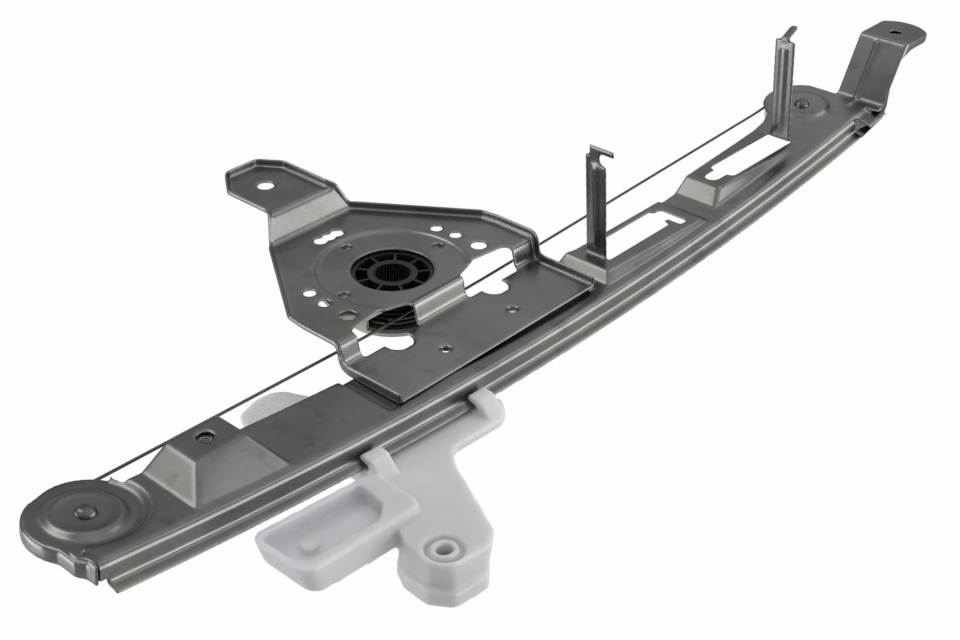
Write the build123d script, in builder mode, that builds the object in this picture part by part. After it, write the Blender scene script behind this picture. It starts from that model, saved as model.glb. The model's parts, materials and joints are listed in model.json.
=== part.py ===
"""Cable window regulator: arched pressed rail, motor plate, cable drum, two pulleys and a glass slider.

Frame: the origin is the drum axis on the seat face of the motor plate. X runs along the rail,
Y across it towards the plate's arm, Z up out of the plate. Millimetres.
"""
from build123d import *
import os
from math import asin, atan2, cos, degrees, hypot, pi, radians, sin, sqrt, tan

os.makedirs("parts", exist_ok=True)

# Rail arc: the upper face of the web is a band of one large cylinder
arc_radius = 1944.0
arc_low_x = 58.7
web_low_z = -13.7

# Rail section
rail_sheet = 1.5
web_back_y = -43.5
web_front_y = -85.3
wall_drop = 9.8
lip_width = 5.7
lip_droop = 1.3
web_bend = 3.2
crease_bend = 0.8

# Rail ends and pulley heads
rail_lower_x = -240.2
wall_lower_x = -236.9
wall_upper_x = 326.0
end_wall_back_y = -79.5
corner_front_y = -83.0
rail_upper_x = 343.0
head_recess = 2.5
lower_head = dict(x=-222.2, y=-52.2, recess=head_recess)
upper_head = dict(x=317.2, y=-49.9, recess=0.0)
head_radius = 24.8
lower_round = dict(x=-219.3, y=-47.3, radius=20.9)
upper_round = dict(x=320.5, y=-47.5, radius=24.0)
recess_x = -221.7
recess_y = -51.0
recess_floor_radius = 22.8
recess_top_radius = 27.2

# Raised seat round each pulley pin: a steep ring with a shallow dish inside it
pin_seat_radius = 18.0
pin_seat_crest = 14.6
pin_seat_floor = 10.8
pin_seat_rise = 2.0
pin_seat_dish = 0.5

# Level mounting boss at the lower end
boss_top_z = 10.0
boss_lower_x = -177.0
boss_upper_x = -150.0
boss_front_y = -64.0
boss_hole_x = -163.0
boss_hole_y = -52.5

# Two level platforms, each with a lanced tab
platform_1 = dict(z=-8.3, x0=85.5, x1=168.0, y0=-74.2, y1=-77.2, foot0=79.0, foot1=172.0, foot_y=-79.5)
platform_2 = dict(z=-1.6, x0=195.0, x1=272.0, y0=-69.5, y1=-71.5, foot0=182.5, foot1=279.0, foot_y=-75.5)
platform_back_y = -46.5
tab_width = 14.0
tab_back_y = -52.0
tab_gap = 0.8
tab_1_x = 96.0
tab_1_height = 58.0
tab_2_x = 277.0
tab_2_height = 63.0
tab_lean = 0.075
tab_rib_width = 5.0
finger_width = 6.0
finger_length = 13.0
finger_offset = 3.8
finger_lean = 64.0

# Upper mounting bracket, bent up from the end of the rail
bracket_z = 43.0
bracket_foot_x = 343.0
bracket_top_x = 362.5
bracket_back_y = -59.5
bracket_front_y = -92.5
bracket_end_x = 397.0
bracket_hole_x = 377.5
bracket_hole_y = -76.3
bracket_rib_y = -73.3
bracket_rib_radius = 1.3
bracket_flange_z = 36.8
flare_back_y = -79.3
flare_front_y = -94.7
flare_drop = 4.3

# Motor plate
plate_sheet = 1.5
plate_z = 1.2
pad_z = 14.7
ledge_z = -9.9
ledge_front_y = -76.2
riser_y = -34.0
slope_foot_y = 61.5
slope_top_y = 68.5
rim_height = 4.6
near_rim_height = 1.8
plate_half_width = 74.0
near_half_width = 70.3
ledge_half_width = 72.0
seat_radius = 39.6
drum_opening = 21.0
motor_hole_radius = 34.1
plate_bend = 3.0
screw_minor = 2.5
collar_wall = 1.1
collar_drop = 2.4
ledge_hole_x = 24.7
ledge_hole_y = -60.2
arm_hole_y = 96.7
mount_hole_radius = 3.3
arm_hole_radius = 4.3

# Cable and drum
cable_radius = 0.75
drum_cable_radius = 21.6
drum_top_z = -2.2
drum_height = 20.0
drum_turns = 7
drum_pitch = 2.6
drum_rim = 22.9
drum_web_wall = 1.3
drum_webs = 9
spline_radius = 9.5
spline_teeth = 36
spline_depth = 0.8
hub_radius = 13.0
running_gap = 0.3
lower_cable_turn = 3
upper_cable_turn = 5

# Pulleys
pulley_cable_radius = 22.0
pulley_rim = 22.9
pulley_thick = 4.6
pulley_gap = 0.3
pulley_dish = 1.2
pin_radius = 4.0
pin_fit = 0.05
pin_neck = 2.95
pin_flange = 6.0
pin_flange_thick = 1.6
dome_radius = 4.7
dome_height = 2.6
dome_lift = 0.02
washer_radius = 8.0
washer_thick = 1.0

# Slider at rest
slider_x = -64.0
slide_gap = 0.35
strand_y = -73.5
strand_height = -8.0
hook_1_x = -102.0
hook_2_x = -32.5
hook_length = 11.6

arc_centre = Vector(arc_low_x, 0, web_low_z + arc_radius)
arc_axis = Axis(arc_centre, (0, -1, 0))


def arc_angle(x):
    """Turn of the web at x about the arc's axis, in radians."""
    return asin((x - arc_low_x) / arc_radius)


def arc_point(x, y=0.0, height=0.0):
    """A point over the web at x, the height measured square to it."""
    turn = arc_angle(x)
    z = web_low_z + arc_radius * (1 - cos(turn))
    return Vector(x - height * sin(turn), y, z + height * cos(turn))


def web_z(x):
    return arc_point(x).Z


def section_plane(x):
    """Plane across the rail: sketch x is the part's Y, sketch y is the height over the web."""
    turn = arc_angle(x)
    return Plane(origin=arc_point(x), x_dir=(0, 1, 0), z_dir=(cos(turn), 0, sin(turn)))


def tangent_plane(x, y=0.0, height=0.0):
    """Plane parallel to the web at x."""
    turn = arc_angle(x)
    return Plane(origin=arc_point(x, y, height), x_dir=(cos(turn), 0, sin(turn)), z_dir=(-sin(turn), 0, cos(turn)))


def arc_sweep(x0, x1):
    return degrees(arc_angle(x1) - arc_angle(x0))


# Rail: what lies under the outer skin, less what lies under the inner skin
block_depth = 17.0
far_back_y = -15.0
lip_edge_y = web_front_y - lip_width


def web_block(depth, over):
    """The arched band under the web, wall and lip, its skin set back by depth."""
    wall_y = web_front_y + depth
    slope = lip_droop / lip_width
    with BuildPart() as block:
        with BuildSketch(section_plane(rail_lower_x - 14)):
            with BuildLine():
                skin = FilletPolyline(
                    (far_back_y, -depth),
                    (wall_y, -depth),
                    (wall_y, -wall_drop - depth),
                    (lip_edge_y - over, -wall_drop - lip_droop - depth - slope * over),
                    radius=[web_bend - depth, crease_bend + depth],
                )
                Polyline(skin @ 1, (lip_edge_y - over, -block_depth - over), (far_back_y, -block_depth - over), skin @ 0)
            make_face()
        revolve(axis=arc_axis, revolution_arc=arc_sweep(rail_lower_x - 14, rail_upper_x + over))
    return block.part


def raised_form(form, depth):
    """A level platform that rises from the web, open at the back edge of the rail."""
    middle = (form["foot0"] + form["foot1"]) / 2
    foot_plane = tangent_plane(middle, 0, -0.3 - depth)
    half0 = middle - form["foot0"]
    half1 = form["foot1"] - middle
    with BuildPart() as raised:
        with BuildSketch(Plane.XY.offset(form["z"] - depth)):
            with BuildLine():
                Polyline(
                    (form["x0"] + depth, form["y0"] + depth),
                    (form["x1"] - depth, form["y1"] + depth),
                    (form["x1"] - depth, far_back_y),
                    (form["x0"] + depth, far_back_y),
                    close=True,
                )
            make_face()
        with BuildSketch(foot_plane):
            with BuildLine():
                Polyline(
                    (-half0 + depth, form["foot_y"] + depth),
                    (half1 - depth, form["foot_y"] + depth),
                    (half1 - depth, far_back_y),
                    (-half0 + depth, far_back_y),
                    close=True,
                )
            make_face()
        loft(ruled=True)
    return raised.part


boss = dict(z=boss_top_z, x0=boss_lower_x, x1=boss_upper_x, y0=boss_front_y, y1=boss_front_y,
            foot0=-191.0, foot1=-139.5, foot_y=-80.8)
seat_front_y = ledge_front_y + 4.0
sunk_front_y = ledge_front_y - 0.6
seat_z = ledge_z - plate_sheet
seat_lower_x = -79.0
seat_upper_x = 72.0
seat_draft = 2.4
seat_level_x = arc_low_x - sqrt(arc_radius**2 - (arc_radius - (seat_z - web_low_z)) ** 2)
seat = dict(z=seat_z, x0=seat_level_x, x1=seat_upper_x, y0=seat_front_y, y1=seat_front_y,
            foot0=seat_level_x - 1, foot1=seat_upper_x + 3.5, foot_y=seat_front_y - 3.0)


def seat_recess(depth):
    """The lower half of the level seat under the ledge, sunk into the rising web."""
    with BuildPart() as sunk:
        for height, grow in ((seat_z - depth, depth), (seat_z + 6, depth + seat_draft)):
            with BuildSketch(Plane.XY.offset(height)):
                with BuildLine():
                    Polyline(
                        (seat_lower_x - grow, sunk_front_y - grow),
                        (seat_level_x + 1, sunk_front_y - grow),
                        (seat_level_x + 1, far_back_y),
                        (seat_lower_x - grow, far_back_y),
                        close=True,
                    )
                make_face()
        loft(ruled=True)
    return sunk.part


def head_recess_form(depth):
    """The sunk round head at the lower pulley, open towards the end of the rail."""
    floor = -head_recess - depth
    flat = tangent_plane(recess_x, recess_y)
    with BuildPart() as sunk:
        with BuildSketch(Plane(flat.origin, x_dir=flat.x_dir, z_dir=(0, -1, 0))):
            with BuildLine():
                Polyline((0, floor), (recess_floor_radius + depth * 0.6, floor),
                         (recess_top_radius + depth * 0.6, 1.5), (0, 1.5), close=True)
            make_face()
        revolve(axis=Axis(flat.origin, flat.z_dir))
        with BuildSketch(flat.offset(floor)):
            with BuildLine():
                Polyline((0, 0), (32, 20), (32, 40), (-60, 40), (-60, -24.5), (-16.5, -24.5), close=True)
            make_face()
        extrude(amount=-floor + 3)
    return sunk.part


def pin_seat_form(head, depth):
    """The raised seat of a pulley pin, set back by depth."""
    plane = tangent_plane(head["x"], head["y"], -head["recess"] - depth)
    dish = pin_seat_rise - pin_seat_dish
    with BuildPart() as raised:
        with BuildSketch(Plane(plane.origin, x_dir=plane.x_dir, z_dir=(0, -1, 0))):
            with BuildLine():
                FilletPolyline((0, dish), (pin_seat_floor, dish), (pin_seat_crest, pin_seat_rise),
                               (pin_seat_radius, -0.3), radius=[2.0, 1.6])
                Polyline((pin_seat_radius, -0.3), (0, -0.3), (0, dish))
            make_face()
        revolve(axis=Axis(plane.origin, plane.z_dir))
    return raised.part


def rail_block(depth, over):
    """All that lies under the pressed skin of the rail, set back by depth."""
    block = web_block(depth, over)
    for form in (boss, platform_1, platform_2, seat):
        block += raised_form(form, depth)
    block -= seat_recess(depth)
    block -= head_recess_form(depth)
    for head in (lower_head, upper_head):
        block += pin_seat_form(head, depth)
    return block


# Plan outline of the rail
skirt_end_angle = 212
skirt_end_x = lower_head["x"] + head_radius * cos(radians(skirt_end_angle))
skirt_end_y = lower_head["y"] + head_radius * sin(radians(skirt_end_angle))
skirt_bend_y = lower_head["y"] - 23.0
skirt_corner_y = lower_head["y"] - 28.2
with BuildSketch() as rail_outline:
    with BuildLine():
        Polyline(
            (wall_lower_x, lip_edge_y - 1),
            (rail_upper_x + 1, lip_edge_y - 1),
            (rail_upper_x + 1, upper_round["y"]),
            (302, -35),
            (288, -40),
            (258, -42.5),
            (198, platform_back_y),
            (92, platform_back_y),
            (80, web_back_y),
            (-197, web_back_y),
            (lower_round["x"], lower_round["y"]),
            (wall_lower_x, corner_front_y),
            close=True,
        )
    make_face()
    with Locations((lower_head["x"], lower_head["y"])):
        Circle(head_radius - 0.4)
    for form in (lower_round, upper_round):
        with Locations((form["x"], form["y"])):
            Circle(form["radius"])
    with BuildLine():
        Polyline(
            (skirt_end_x, skirt_end_y),
            (skirt_end_x, skirt_bend_y),
            (rail_lower_x, skirt_corner_y),
            (rail_lower_x, corner_front_y),
            (wall_lower_x + 1, corner_front_y),
            (lower_head["x"], lower_head["y"]),
            close=True,
        )
    make_face()
    with BuildLine():
        Line((skirt_end_x, skirt_end_y), (lower_head["x"], lower_head["y"]))
        Line((lower_head["x"], lower_head["y"]), (lower_head["x"] + head_radius * cos(radians(118)),
                                                  lower_head["y"] + head_radius * sin(radians(118))))
        CenterArc((lower_head["x"], lower_head["y"]), head_radius, 118, skirt_end_angle - 118)
    make_face()

with BuildPart() as rail_plan:
    with BuildSketch(Plane.XY.offset(-60)):
        add(rail_outline.sketch)
    extrude(amount=120)

outer_block = rail_block(0.0, 0.0)
inner_block = rail_block(rail_sheet, 2.0)
sheet_body = (outer_block - inner_block) & rail_plan.part


def hook_outline(height):
    """Outline of the hooked tab: x across it from its back edge, y up it from the bend."""
    return [(0, 0), (0, height), (2.6, height), (2.6, height + 5.6), (19, height + 5.6), (19, height + 1.6),
            (9.8, height + 1.6), (9.8, height - 3.2), (tab_width, height - 4.6), (tab_width, 0)]


def finger_outline(height):
    """Outline of the tab with a finger, without the finger itself."""
    return [(0, 0), (0, height - 1), (1, height), (tab_width - 1, height), (tab_width, height - 1), (tab_width, 0)]


def leaned(points):
    """The same outline with its sides leaning towards the back edge of the rail."""
    return [(x - tab_lean * y, y) for x, y in points]


hook_tab = dict(x=tab_1_x, z=platform_1["z"], height=tab_1_height, outline=hook_outline(tab_1_height), way=1)
finger_tab = dict(x=tab_2_x, z=platform_2["z"], height=tab_2_height, outline=finger_outline(tab_2_height), way=-1)

with BuildPart() as rail:
    add(sheet_body)
    # the skirt turned down round the end of the lower head
    with BuildSketch(tangent_plane(lower_head["x"], lower_head["y"], -wall_drop)):
        with BuildLine():
            CenterArc((0, 0), head_radius, 118, skirt_end_angle - 118)
            Polyline((skirt_end_x - lower_head["x"], skirt_end_y - lower_head["y"]),
                     (skirt_end_x - lower_head["x"], skirt_bend_y - lower_head["y"]),
                     (rail_lower_x - lower_head["x"], skirt_corner_y - lower_head["y"]),
                     (rail_lower_x - lower_head["x"], web_front_y - lower_head["y"]))
            offset(amount=-rail_sheet, side=Side.LEFT)
        make_face()
    extrude(amount=wall_drop - head_recess - 0.1)
    # the corner of the web over the skirt
    with BuildSketch(tangent_plane(rail_lower_x, 0, -wall_drop)):
        with Locations((rail_sheet / 2, (web_front_y + end_wall_back_y) / 2)):
            Rectangle(rail_sheet, end_wall_back_y - web_front_y)
    extrude(amount=wall_drop - 0.2)
    # past the end of the wall the web widens and dips towards the foot of the bracket
    with BuildSketch(section_plane(wall_upper_x)):
        with Locations((web_front_y - 10 + rail_sheet, -rail_sheet - 10)):
            Rectangle(20, 20)
    revolve(axis=arc_axis, revolution_arc=arc_sweep(wall_upper_x, rail_upper_x + 3), mode=Mode.SUBTRACT)
    with BuildSketch(section_plane(wall_upper_x - 1.5)):
        with BuildLine():
            Polyline((flare_back_y, 0), (flare_front_y, -flare_drop), (flare_front_y, -flare_drop - rail_sheet),
                     (flare_back_y, -rail_sheet), close=True)
        make_face()
    revolve(axis=arc_axis, revolution_arc=arc_sweep(wall_upper_x - 1.5, rail_upper_x - 1))
    # rivet holes of the pulley pins
    for head in (lower_head, upper_head):
        with Locations(tangent_plane(head["x"], head["y"])):
            Cylinder(pin_neck + pin_fit, 24, mode=Mode.SUBTRACT)
    # clearance for the threaded collars of the plate's ledge, and the hole of the lower mount
    with BuildSketch(Plane.XY.offset(seat_z - 6)):
        with Locations((-ledge_hole_x, ledge_hole_y), (ledge_hole_x, ledge_hole_y)):
            Circle(screw_minor + collar_wall + 0.6)
    extrude(amount=9, mode=Mode.SUBTRACT)
    with BuildSketch(Plane.XY.offset(boss_top_z - 4)):
        with Locations((boss_hole_x, boss_hole_y)):
            Circle(mount_hole_radius)
    extrude(amount=8, mode=Mode.SUBTRACT)
    # windows left by the lanced tabs
    for tab in (hook_tab, finger_tab):
        with BuildSketch(Plane(origin=(tab["x"], tab_back_y, tab["z"] - 12), x_dir=(0, -1, 0), z_dir=(0, 0, tab["way"]))):
            with BuildLine():
                Polyline(*tab["outline"], close=True)
            make_face()
            if tab is finger_tab:
                with Locations((finger_offset + finger_width / 2, tab_2_height)):
                    SlotOverall(2 * finger_length, finger_width, rotation=90)
            offset(amount=tab_gap, kind=Kind.INTERSECTION)
        extrude(amount=22 * tab["way"], mode=Mode.SUBTRACT)

    # the tabs themselves, bent square up at the end of their windows
    for tab in (hook_tab, finger_tab):
        face = Plane(origin=(tab["x"], tab_back_y, tab["z"] - rail_sheet), x_dir=(0, -1, 0), z_dir=(-1, 0, 0))
        with BuildSketch(face):
            with BuildLine():
                Polyline(*leaned(tab["outline"]), close=True)
            make_face()
        extrude(amount=rail_sheet * tab["way"])
        # long stiffening rib
        middle = tab["height"] / 2
        with BuildSketch(face.offset(rail_sheet * max(tab["way"], 0))):
            with Locations((tab_width / 2 - 0.4 - tab_lean * middle, middle + 0.5)):
                SlotOverall(tab["height"] - 10, tab_rib_width, rotation=90 + degrees(tab_lean))
        extrude(amount=1.0, taper=35)
    # the bent finger on top of the second tab
    lean = radians(finger_lean)
    finger_z = platform_2["z"] - rail_sheet + tab_2_height - 0.5
    finger_y = tab_back_y - finger_offset + tab_lean * tab_2_height
    with BuildSketch(Plane(origin=(tab_2_x, finger_y, finger_z), x_dir=(0, -1, 0), z_dir=(-cos(lean), 0, sin(lean)))):
        with Locations((finger_width / 2, 0)):
            SlotOverall(2 * finger_length, finger_width, rotation=90)
            with Locations((0, -finger_length)):
                Rectangle(2 * finger_width, 2 * finger_length, mode=Mode.SUBTRACT)
    extrude(amount=rail_sheet)
    # upper bracket: leg and pad in one bent strip
    foot_z = web_z(bracket_foot_x)
    bracket_side = Plane(origin=(0, bracket_back_y, 0), x_dir=(1, 0, 0), z_dir=(0, -1, 0))
    with BuildSketch(bracket_side):
        with BuildLine():
            FilletPolyline(
                (bracket_foot_x - 6, web_z(bracket_foot_x - 6)),
                (bracket_foot_x, foot_z),
                (bracket_top_x, bracket_z),
                (bracket_end_x + 3, bracket_z),
                radius=[3.0, 3.0],
            )
            offset(amount=rail_sheet, side=Side.RIGHT)
        make_face()
    extrude(amount=bracket_back_y - bracket_front_y)
    # the leg reaches down to the dipped corner of the web
    leg_way = Vector(bracket_top_x - bracket_foot_x, 0, bracket_z - foot_z).normalized()
    with BuildSketch(Plane(origin=(bracket_foot_x, 0, foot_z), x_dir=(0, 1, 0), z_dir=(-leg_way.Z, 0, leg_way.X))):
        with BuildLine():
            Polyline((flare_back_y, 0), (flare_front_y, flare_drop + 0.8), (flare_front_y, -1), (bracket_front_y, -12),
                     (flare_back_y, -12), close=True)
        make_face()
    extrude(amount=-rail_sheet)
    # round end of the pad
    with BuildSketch(Plane.XY.offset(bracket_z - 3)):
        with BuildLine():
            ThreePointArc((391.5, bracket_back_y), (bracket_end_x + 1.4, -72.5), (389.5, bracket_front_y))
            Polyline((389.5, bracket_front_y), (389.5, bracket_front_y - 1), (bracket_end_x + 5, bracket_front_y - 1),
                     (bracket_end_x + 5, bracket_back_y + 1), (391.5, bracket_back_y + 1), (391.5, bracket_back_y))
        make_face()
    extrude(amount=4, mode=Mode.SUBTRACT)
    # flange turned down along the front of the pad, running out into the leg
    with BuildSketch(Plane(origin=(0, bracket_front_y, 0), x_dir=(1, 0, 0), z_dir=(0, -1, 0))):
        with BuildLine():
            FilletPolyline((364, bracket_z - 0.5), (389.5, bracket_z - 0.5), (389.5, bracket_flange_z), (370, bracket_flange_z),
                           (358.5, 33.5), (360.5, 37), radius=[0.2, 2.5, 4, 0.2])
            Line((360.5, 37), (364, bracket_z - 0.5))
        make_face()
    extrude(amount=-rail_sheet)
    # narrow rib up the leg
    with BuildLine(Plane(origin=(0, bracket_rib_y, 0), x_dir=(1, 0, 0), z_dir=(0, -1, 0))):
        rib_path = FilletPolyline(
            (bracket_foot_x - 9, web_z(bracket_foot_x - 9)), (bracket_foot_x, foot_z),
            (bracket_top_x - 1.2, bracket_z - 2.2), radius=[3.0])
    with BuildSketch(Plane(origin=rib_path @ 0, z_dir=rib_path % 0)):
        Circle(bracket_rib_radius)
    sweep(path=rib_path)
    with BuildSketch(Plane.XY.offset(bracket_z - 8)):
        with Locations((bracket_hole_x, bracket_hole_y)):
            Circle(mount_hole_radius)
    extrude(amount=12, mode=Mode.SUBTRACT)
rail.part.label = "rail"
print("rail", rail.part.is_valid, len(rail.part.solids()), round(rail.part.volume))
export_step(rail.part, "parts/rail.step")


# Motor plate
def plate_skin(points_shift, over):
    """Side line of the plate's upper face from the pad down to the ledge: y against z."""
    d = points_shift
    return [
        (124 + over, pad_z - d),
        (slope_top_y, pad_z - d),
        (slope_foot_y - 0.25 * d, plate_z - d),
        (riser_y + 1.2 + d * 0.8, plate_z - d),
        (riser_y - 1.2 + d * 0.8, ledge_z - d),
        (ledge_front_y - over, ledge_z - d),
    ]


def plate_bends(depth):
    """Bend radii down the plate: two turns away from the upper face and two towards it."""
    away = plate_bend - depth
    towards = max(plate_bend + depth, 0.5)
    return [away, towards, away, towards]


side_plane = Plane(origin=(-100, 0, 0), x_dir=(0, 1, 0), z_dir=(1, 0, 0))


def plate_layer(top, bottom, over=0.0):
    """A layer of the plate between two depths under its upper face (negative is above)."""
    upper = plate_skin(top, over)
    lower = plate_skin(bottom, over)
    with BuildPart() as layer:
        with BuildSketch(side_plane):
            with BuildLine():
                a = FilletPolyline(*upper, radius=plate_bends(top))
                b = FilletPolyline(*lower, radius=plate_bends(bottom))
                Line(a @ 0, b @ 0)
                Line(a @ 1, b @ 1)
            make_face()
        extrude(amount=200)
    return layer.part


def plate_outline_sketch(inset, front_y):
    """Plan of the plate, its sides set in from the outer face of the rim."""
    pad_half = 22.3
    with BuildSketch() as plan:
        with BuildLine():
            Polyline(
                (-10, 119.0), (13, 119.5), (pad_half, 106), (pad_half, slope_top_y + 3), (33, 60),
                (72.5, 3), (plate_half_width, -8), (plate_half_width, riser_y), (ledge_half_width, riser_y - 8),
                (ledge_half_width, front_y), (-ledge_half_width, front_y), (-ledge_half_width, riser_y - 8),
                (-near_half_width, riser_y), (-near_half_width, -8), (-69, 3), (-31, 60),
                (-20.5, slope_top_y + 3), (-20.5, 104.5), close=True,
            )
        make_face()
        corners = plan.vertices().filter_by_position(Axis.Y, front_y + 1, 107)
        fillet(corners, radius=4.0)
        ends = plan.vertices().filter_by_position(Axis.Y, 118, 120)
        fillet(ends, radius=6.0)
        if inset:
            offset(amount=-inset)
    return plan.sketch


def prism(sketch, z0, z1):
    with BuildPart() as block:
        with BuildSketch(Plane.XY.offset(z0)):
            add(sketch)
        extrude(amount=z1 - z0)
    return block.part


outline_plan = prism(plate_outline_sketch(0, ledge_front_y), -40, 60)
rim_ring = prism(plate_outline_sketch(0, ledge_front_y - 12), -40, 60) - prism(
    plate_outline_sketch(plate_sheet, ledge_front_y - 12), -41, 61)
sheet_layer = plate_layer(0, plate_sheet) & outline_plan
rim_layer = plate_layer(-rim_height, plate_sheet) & rim_ring & outline_plan
# the near side of the rim is lower, from the riser to a short slope at the end of the arm
arm_slope_y = 103.0
with BuildPart() as near_cut:
    with BuildSketch(side_plane):
        with BuildLine():
            low = FilletPolyline(*plate_skin(-near_rim_height, 0)[1:-1], radius=plate_bends(-near_rim_height)[1:-1])
            Polyline(low @ 0, (arm_slope_y, pad_z + near_rim_height), (119.5, pad_z + rim_height + 0.1),
                     (119.5, pad_z + 12), low @ 1 + Vector(0, 32, 0), low @ 1)
        make_face()
    extrude(amount=95)
rim_layer -= near_cut.part

# Openings that take the mounting screws and clear the cable
with BuildSketch() as plate_openings:
    for x, y, r in ((45.9, 12.2, 3.0), (47.4, -0.3, 3.0), (47.4, -16.9, 4.0)):
        with Locations((x, y), (-x, y)):
            Circle(r)
    with Locations((0, arm_hole_y)):
        Circle(arm_hole_radius)
    with Locations((-5.9, 47.5), (0, 47.5), (5.9, 47.5)):
        Circle(3.3)

with BuildSketch() as keyhole:
    with BuildLine():
        Polyline((-56.0, -36.5), (-56.0, -27.5), (-33.5, -24.8), (-18.6, -29.5), (-18.6, -36.5), close=True)
    make_face()
    fillet(keyhole.vertices().filter_by_position(Axis.Y, -31, -20), radius=3.0)
    with Locations((-35.2, -38.6)):
        Circle(7.2)

with BuildPart() as motor_plate:
    add(sheet_layer)
    add(rim_layer)
    # the seat disc of the motor, sunk a little below the plate
    seat_depth = plate_z
    with BuildSketch(Plane.XY.offset(-plate_sheet)):
        Circle(seat_radius + plate_sheet)
        with BuildLine():
            Polyline((-60, -31), (60, -31), (60, -60), (-60, -60), close=True)
        make_face(mode=Mode.SUBTRACT)
    extrude(amount=seat_depth + 0.2)
    with BuildSketch(Plane.XY):
        Circle(seat_radius)
        with BuildLine():
            Polyline((-60, -31), (60, -31), (60, -60), (-60, -60), close=True)
        make_face(mode=Mode.SUBTRACT)
    extrude(amount=seat_depth + 1, mode=Mode.SUBTRACT)
    with BuildSketch(Plane.XY.offset(-40)):
        add(plate_openings.sketch)
        add(keyhole.sketch)
        mirror(keyhole.sketch, about=Plane.YZ)
        Circle(drum_opening)
    extrude(amount=90, mode=Mode.SUBTRACT)
    # threaded collars drawn down out of the sheet
    motor_holes = [(motor_hole_radius, 0), (0, motor_hole_radius), (-motor_hole_radius, 0)]
    ledge_holes = [(-ledge_hole_x, ledge_hole_y), (ledge_hole_x, ledge_hole_y)]
    for places, face_z in ((motor_holes, 0.0), (ledge_holes, ledge_z)):
        with BuildSketch(Plane.XY.offset(face_z - plate_sheet)):
            with Locations(*places):
                Circle(screw_minor + collar_wall)
        extrude(amount=-collar_drop)
        with BuildSketch(Plane.XY.offset(face_z + 1)):
            with Locations(*places):
                Circle(screw_minor)
        extrude(amount=-(1 + plate_sheet + collar_drop + 1), mode=Mode.SUBTRACT)
motor_plate.part.label = "motor_plate"
print("motor_plate", motor_plate.part.is_valid, len(motor_plate.part.solids()), round(motor_plate.part.volume))
export_step(motor_plate.part, "parts/motor_plate.step")


# Cable drum
groove_radius = cable_radius + running_gap
groove_floor = 0.6
groove_mouth = 1.15
groove_top_z = drum_top_z - 1.9


def groove_z(turn):
    return groove_top_z - drum_pitch * turn


drum_bottom_z = drum_top_z - drum_height
drum_floor = 2.0
lip_radius = 11.0
lip_rise = 3.0
lip_bore = 9.6
pocket_radius = drum_cable_radius - groove_radius - 1.3

with BuildPart() as cable_drum:
    with BuildSketch(Plane.XY.offset(drum_bottom_z)):
        Circle(drum_rim)
        Circle(spline_radius - spline_depth / 2, mode=Mode.SUBTRACT)
    extrude(amount=drum_height)
    for turn in range(drum_turns):
        z = groove_z(turn)
        with BuildSketch(Plane.XZ):
            with BuildLine():
                Polyline((drum_cable_radius - groove_radius, z - groove_floor), (drum_cable_radius - groove_radius, z + groove_floor),
                         (drum_rim + 0.1, z + groove_mouth), (drum_rim + 0.1, z - groove_mouth), close=True)
            make_face()
        revolve(axis=Axis.Z, mode=Mode.SUBTRACT)
    # open pockets between the hub and the rim, left by the webs
    with BuildSketch(Plane.XY.offset(drum_bottom_z + drum_floor)):
        Circle(pocket_radius)
        Circle(hub_radius, mode=Mode.SUBTRACT)
        with PolarLocations((hub_radius + pocket_radius) / 2, drum_webs):
            Rectangle(pocket_radius - hub_radius + 4, drum_web_wall, mode=Mode.SUBTRACT)
    extrude(amount=drum_height, mode=Mode.SUBTRACT)
    # counterbore that runs on the retainer's bearing lip
    with BuildSketch(Plane.XY.offset(drum_bottom_z)):
        Circle(lip_radius + pin_fit)
    extrude(amount=lip_rise + running_gap, mode=Mode.SUBTRACT)
    # splined bore for the motor's output
    with BuildSketch(Plane.XY.offset(drum_bottom_z)):
        with PolarLocations(spline_radius - spline_depth / 4, spline_teeth):
            RegularPolygon(spline_depth, 3)
    extrude(amount=drum_height, mode=Mode.SUBTRACT)
cable_drum.part.label = "cable_drum"
print("cable_drum", cable_drum.part.is_valid, len(cable_drum.part.solids()), round(cable_drum.part.volume))
export_step(cable_drum.part, "parts/cable_drum.step")

with BuildPart() as drum_windings:
    for turn in [t for t in range(drum_turns) if t not in (lower_cable_turn, upper_cable_turn, upper_cable_turn - 1)]:
        with BuildSketch(Plane.XZ):
            with Locations((drum_cable_radius, groove_z(turn))):
                Circle(cable_radius)
        revolve(axis=Axis.Z)
drum_windings.part.label = "drum_windings"
export_step(drum_windings.part, "parts/drum_windings.step")

# Crimped ends of both cables, each in its own pocket of the drum
drum_nipple_radius = 1.9
drum_nipple_length = 5.0
nipple_seat_radius = pocket_radius - drum_nipple_radius - 0.05
for name, azimuth in (("lower_drum_nipple", 20), ("upper_drum_nipple", 220)):
    with BuildPart() as crimp:
        with BuildSketch(Plane.XY.offset(drum_bottom_z + drum_floor)):
            with PolarLocations(nipple_seat_radius, 1, start_angle=azimuth):
                Circle(drum_nipple_radius)
        extrude(amount=drum_nipple_length)
    crimp.part.label = name
    export_step(crimp.part, f"parts/{name}.step")

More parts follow.
